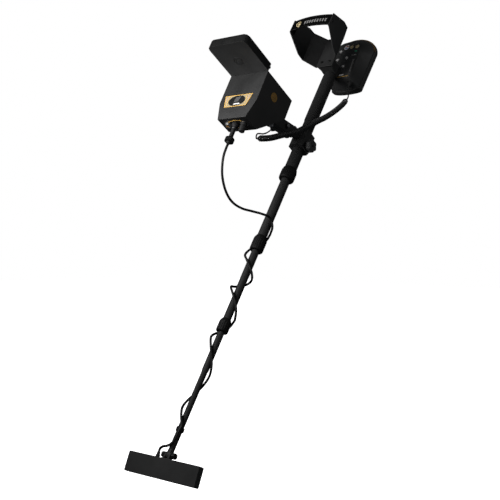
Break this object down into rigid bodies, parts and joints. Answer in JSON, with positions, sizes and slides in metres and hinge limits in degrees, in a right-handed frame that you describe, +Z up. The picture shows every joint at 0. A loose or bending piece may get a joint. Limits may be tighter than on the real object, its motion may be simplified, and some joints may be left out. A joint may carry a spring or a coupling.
{
  "type": "metal detector",
  "caption": "Hand-held metal detector: slim search head on a telescoping pole, display box on a ball arm with a visor, folded arm cuff, keypad unit and coiled lead.",
  "frame": {"origin": "centre of the hand grip on the pole's axis", "axes": "+Z up, +X forward from the user to the search head, +Y to the user's left; the pole leans 34 degrees from upright, as it is carried"},
  "size_m": [0.826, 0.211, 1.1292],
  "materials": {
    "pole_tube": "satin black anodised tube",
    "grip_foam": "matt foam sleeve",
    "lock_plastic": "matt moulded nylon",
    "steel": "turned stainless steel",
    "head_plastic": "fine-textured moulded shell",
    "winding": "enamelled copper winding",
    "board": "solder-masked circuit board",
    "knob_plastic": "matt moulded plastic",
    "mount_plastic": "glass-filled plastic",
    "case_plastic": "fine-textured powder coat",
    "bezel_plastic": "fine-textured frame",
    "screen": "dark screen, switched off",
    "glass": "clear cover glass",
    "label": "printed gold label",
    "gold": "gold-plated socket",
    "connector_metal": "plated connector",
    "plug_rubber": "moulded rubber",
    "cable_sheath": "extruded cable sheath",
    "cuff_metal": "powder-coated folded sheet",
    "strap_web": "woven webbing",
    "unit_plastic": "fine-textured moulded shell",
    "battery": "wrapped battery pack",
    "panel_film": "printed keypad film",
    "key_plastic": "pale rubberised key"
  },
  "bodies": {
    "upper": {"upper_tube": "pole_tube", "grip_sleeve": "grip_foam", "pole_end_cap": "lock_plastic", "clamp_front": "mount_plastic", "clamp_rear": "mount_plastic", "cuff": "cuff_metal", "cuff_bracket": "mount_plastic", "unit_bracket": "mount_plastic", "strap": "strap_web", "unit_cover": "unit_plastic", "unit_back": "unit_plastic", "unit_battery": "battery", "keypad_case": "unit_plastic", "keypad_panel": "panel_film", "cord_boot": "plug_rubber", "curly_lead_rear": "cable_sheath"},
    "lock_1": {"lock_nut_1": "lock_plastic"},
    "section_2": {"tube_2": "pole_tube", "cable_wrap_2": "cable_sheath"},
    "lock_2": {"lock_nut_2": "lock_plastic"},
    "section_3": {"tube_3": "pole_tube", "cable_wrap_3": "cable_sheath"},
    "lock_3": {"lock_nut_3": "lock_plastic"},
    "section_4": {"tube_4": "pole_tube", "stem_collar": "lock_plastic", "rod_end": "mount_plastic", "cable_tail": "cable_sheath"},
    "head": {"head_base": "head_plastic", "head_cover": "head_plastic", "head_coil": "winding", "head_board": "board", "head_gland": "plug_rubber", "hinge_bolt": "steel"},
    "knob_left": {"hinge_knob_left": "knob_plastic"},
    "knob_right": {"hinge_knob_right": "knob_plastic"},
    "clamp_screw": {"clamp_knob": "knob_plastic"},
    "arm": {"arm_left": "mount_plastic", "arm_right": "mount_plastic"},
    "arm_screw": {"arm_knob": "knob_plastic"},
    "display": {"ball_plate": "mount_plastic", "display_case": "case_plastic", "display_bezel": "bezel_plastic", "display_screen": "screen", "display_glass": "glass", "display_board": "board", "visor_pin": "steel", "label_plate": "label", "socket_cap": "plug_rubber", "socket_right": "gold", "cable_plug": "plug_rubber", "side_connector": "connector_metal", "cable_loop": "cable_sheath", "curly_cord": "cable_sheath", "curly_lead_front": "cable_sheath"},
    "plug_ring": {"plug_nut": "knob_plastic"},
    "visor": {"visor": "case_plastic"},
    "key_1": {"key_1": "key_plastic"},
    "key_2": {"key_2": "key_plastic"},
    "key_3": {"key_3": "key_plastic"},
    "key_4": {"key_4": "key_plastic"}
  },
  "joints": [
    {"name": "section_2_slide", "type": "slide", "parent": "upper", "child": "section_2", "axis": [-0.5592, 0, 0.829], "range_m": [0, 0.165]},
    {"name": "section_3_slide", "type": "slide", "parent": "section_2", "child": "section_3", "axis": [-0.5592, 0, 0.829], "range_m": [0, 0.175], "deforming": ["cable_wrap_2"]},
    {"name": "section_4_slide", "type": "slide", "parent": "section_3", "child": "section_4", "axis": [-0.5592, 0, 0.829], "range_m": [0, 0.2], "deforming": ["cable_wrap_3"]},
    {"name": "lock_1_twist", "type": "hinge", "parent": "upper", "child": "lock_1", "pos_m": [0.13421, 0, -0.19897], "axis": [-0.5592, 0, 0.829], "range_deg": [0, 60]},
    {"name": "lock_2_twist", "type": "hinge", "parent": "section_2", "child": "lock_2", "pos_m": [0.25583, 0, -0.37928], "axis": [-0.5592, 0, 0.829], "range_deg": [0, 60]},
    {"name": "lock_3_twist", "type": "hinge", "parent": "section_3", "child": "lock_3", "pos_m": [0.38668, 0, -0.57328], "axis": [-0.5592, 0, 0.829], "range_deg": [0, 60]},
    {"name": "head_tilt", "type": "hinge", "parent": "section_4", "child": "head", "pos_m": [0.56926, 0, -0.84396], "axis": [0, 1, 0], "range_deg": [-60, 70], "deforming": ["cable_tail"]},
    {"name": "knob_left_turn", "type": "hinge", "parent": "head", "child": "knob_left", "pos_m": [0.56926, 0.0147, -0.84396], "axis": [0, 1, 0], "range_deg": [-90, 90]},
    {"name": "knob_right_turn", "type": "hinge", "parent": "head", "child": "knob_right", "pos_m": [0.56926, -0.0147, -0.84396], "axis": [0, 1, 0], "range_deg": [-90, 90]},
    {"name": "clamp_knob_turn", "type": "hinge", "parent": "upper", "child": "clamp_screw", "pos_m": [0.0822, 0.036, -0.12187], "axis": [0, 1, 0], "range_deg": [-180, 180]},
    {"name": "arm_tilt", "type": "hinge", "parent": "upper", "child": "arm", "pos_m": [0.12639, 0, -0.08724], "axis": [0, 1, 0], "range_deg": [-12, 12], "deforming": ["curly_cord", "curly_lead_rear"]},
    {"name": "arm_knob_turn", "type": "hinge", "parent": "arm", "child": "arm_screw", "pos_m": [0.16426, 0, -0.07677], "axis": [0, 1, 0], "range_deg": [-90, 90]},
    {"name": "display_tilt", "type": "hinge", "parent": "arm", "child": "display", "pos_m": [0.20213, 0, -0.0663], "axis": [0, 1, 0], "range_deg": [-16, 16], "deforming": ["cable_loop", "curly_lead_front"]},
    {"name": "plug_nut_turn", "type": "hinge", "parent": "display", "child": "plug_ring", "pos_m": [0.3704, -0.002, -0.13349], "axis": [0.5051, 0, -0.863], "range_deg": [0, 90]},
    {"name": "visor_hinge", "type": "hinge", "parent": "display", "child": "visor", "pos_m": [0.29342, 0, 0.04554], "axis": [0, -1, 0], "range_deg": [0, 178]},
    {"name": "key_1_press", "type": "slide", "parent": "upper", "child": "key_1", "axis": [-0.829, 0, -0.5592], "range_m": [0, 0.0012], "stiffness_N_per_m": 400},
    {"name": "key_2_press", "type": "slide", "parent": "upper", "child": "key_2", "axis": [-0.829, 0, -0.5592], "range_m": [0, 0.0012], "stiffness_N_per_m": 400},
    {"name": "key_3_press", "type": "slide", "parent": "upper", "child": "key_3", "axis": [-0.829, 0, -0.5592], "range_m": [0, 0.0012], "stiffness_N_per_m": 400},
    {"name": "key_4_press", "type": "slide", "parent": "upper", "child": "key_4", "axis": [-0.829, 0, -0.5592], "range_m": [0, 0.0012], "stiffness_N_per_m": 400}
  ]
}
